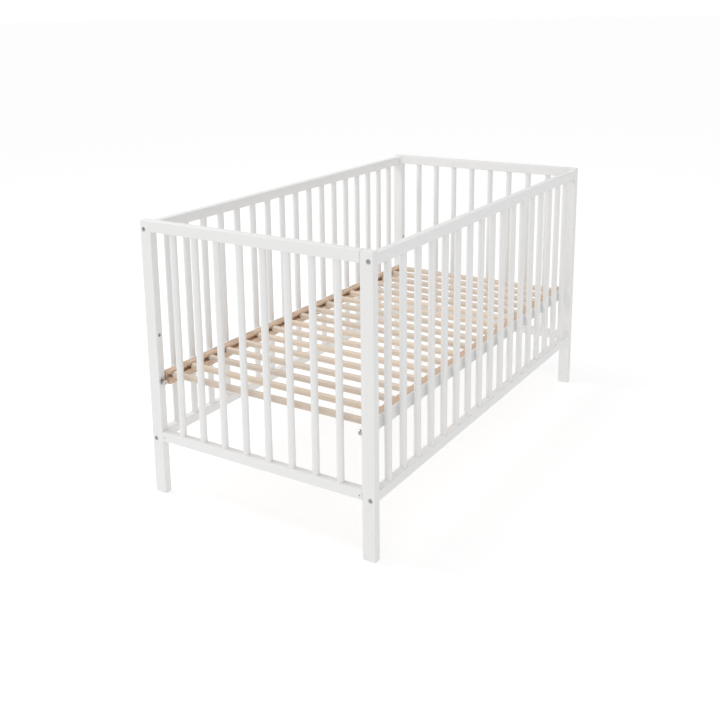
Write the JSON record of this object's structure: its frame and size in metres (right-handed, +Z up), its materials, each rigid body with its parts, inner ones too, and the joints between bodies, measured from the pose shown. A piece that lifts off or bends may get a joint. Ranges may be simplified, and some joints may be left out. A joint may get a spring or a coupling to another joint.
{
  "type": "baby crib",
  "caption": "White wooden baby cot with round bars on every side and a slatted base that hangs from its posts at a lower or a higher level.",
  "frame": {"origin": "centre of the footprint, on the floor under the posts", "axes": "+X along the length towards the right end, +Y across the width towards the back side, +Z up"},
  "size_m": [1.454, 0.76, 0.826],
  "materials": {
    "white_paint": "white lacquer, satin",
    "beam_wood": "clear satin lacquer",
    "slat_wood": "bare sanded wood",
    "dowel_wood": "bare wood",
    "nickel_steel": "nickel plated",
    "zinc_steel": "zinc plated",
    "dark_steel": "black oxide"
  },
  "bodies": {
    "frame": {"left_front_post": "white_paint", "left_back_post": "white_paint", "right_front_post": "white_paint", "right_back_post": "white_paint", "left_end_top_rail": "white_paint", "left_end_bottom_rail": "white_paint", "right_end_top_rail": "white_paint", "right_end_bottom_rail": "white_paint", "left_end_bar_1": "white_paint", "left_end_bar_2": "white_paint", "left_end_bar_3": "white_paint", "left_end_bar_4": "white_paint", "left_end_bar_5": "white_paint", "left_end_bar_6": "white_paint", "left_end_bar_7": "white_paint", "left_end_bar_8": "white_paint", "right_end_bar_1": "white_paint", "right_end_bar_2": "white_paint", "right_end_bar_3": "white_paint", "right_end_bar_4": "white_paint", "right_end_bar_5": "white_paint", "right_end_bar_6": "white_paint", "right_end_bar_7": "white_paint", "right_end_bar_8": "white_paint", "front_top_rail": "white_paint", "front_bottom_rail": "white_paint", "back_top_rail": "white_paint", "back_bottom_rail": "white_paint", "front_bars": "white_paint", "back_bars": "white_paint", "corner_bolts": "nickel_steel", "corner_nuts": "zinc_steel", "corner_dowels": "dowel_wood", "end_rail_dowels": "dowel_wood", "end_rail_pins": "dark_steel", "post_inserts": "zinc_steel", "support_bolts": "nickel_steel"},
    "base": {"base_front_beam": "beam_wood", "base_back_beam": "beam_wood", "base_front_facing": "white_paint", "base_back_facing": "white_paint", "base_slats": "slat_wood", "base_hooks": "nickel_steel", "base_hook_screws": "zinc_steel"}
  },
  "joints": [
    {"name": "base_height", "type": "slide", "parent": "frame", "child": "base", "axis": [0, 0, 1], "range_m": [0, 0.142]}
  ]
}
